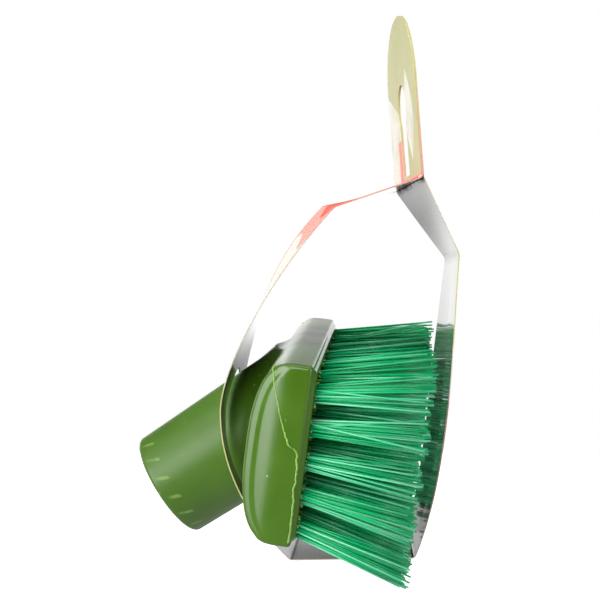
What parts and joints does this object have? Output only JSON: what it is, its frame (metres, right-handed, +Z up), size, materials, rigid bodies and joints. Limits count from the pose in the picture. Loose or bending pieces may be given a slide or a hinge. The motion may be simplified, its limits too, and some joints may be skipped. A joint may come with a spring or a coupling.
{
  "type": "deck scrub brush head",
  "caption": "Green moulded scrub brush head with fanned bristles and an angled handle socket, held in a folded card sleeve with an arched hang tab.",
  "frame": {"origin": "centre of the handle socket's mouth", "axes": "+Z up, along the sleeve and its hang tab; +X towards the bristle tips; +Y along the brush, away from the end that is seen"},
  "size_m": [0.1124, 0.144, 0.1891],
  "materials": {
    "moulded_plastic": "glossy moulded green polypropylene",
    "filament": "straight extruded green filament, square-cut ends",
    "card": "folding carton board, plain pale grey inside and printed outside",
    "printed_card": "folding carton board with a yellow-green print"
  },
  "bodies": {
    "brush": {"brush_head": "moulded_plastic", "bristle_column_01": "filament", "bristle_column_02": "filament", "bristle_column_03": "filament", "bristle_column_04": "filament", "bristle_column_05": "filament", "bristle_column_06": "filament", "bristle_column_07": "filament", "bristle_column_08": "filament", "bristle_column_09": "filament", "bristle_column_10": "filament", "bristle_column_11": "filament", "bristle_column_12": "filament"},
    "sleeve_back": {"back_panel": "card"},
    "bottom": {"bottom_panel": "card"},
    "front": {"front_panel": "card"},
    "shoulder": {"front_shoulder": "card"},
    "front_tab": {"front_tab_ply": "printed_card"},
    "roof": {"roof_panel": "card"},
    "rear_tab": {"rear_tab_ply": "printed_card"}
  },
  "joints": [
    {"name": "sleeve_turn", "type": "hinge", "parent": "brush", "child": "sleeve_back", "pos_m": [0, 0, 0], "axis": [-0.8348, 0, -0.5505], "range_deg": [-3, 3]},
    {"name": "bottom_crease", "type": "hinge", "parent": "sleeve_back", "child": "bottom", "pos_m": [0.046, 0, -0.0203], "axis": [-0.0066, 0.9973, -0.0731], "range_deg": [0, 60]},
    {"name": "front_crease", "type": "hinge", "parent": "bottom", "child": "front", "pos_m": [0.0876, 0, -0.0188], "axis": [-0.0166, 0.9972, -0.0731], "range_deg": [0, 85]},
    {"name": "shoulder_crease", "type": "hinge", "parent": "front", "child": "shoulder", "pos_m": [0.10095, 0, 0.0832], "axis": [-0.0349, 0.9967, -0.0731], "range_deg": [0, 20]},
    {"name": "front_tab_crease", "type": "hinge", "parent": "shoulder", "child": "front_tab", "pos_m": [0.08614, 0.00006, 0.10808], "axis": [-0.1382, 0.9869, -0.0839], "range_deg": [0, 60]},
    {"name": "roof_crease", "type": "hinge", "parent": "sleeve_back", "child": "roof", "pos_m": [0.05755, 0, 0.1005], "axis": [0.111, -0.9938, 0.0099], "range_deg": [0, 35]},
    {"name": "rear_tab_crease", "type": "hinge", "parent": "roof", "child": "rear_tab", "pos_m": [0.08526, -0.00006, 0.10802], "axis": [0.1382, -0.9869, 0.0839], "range_deg": [0, 50]}
  ]
}
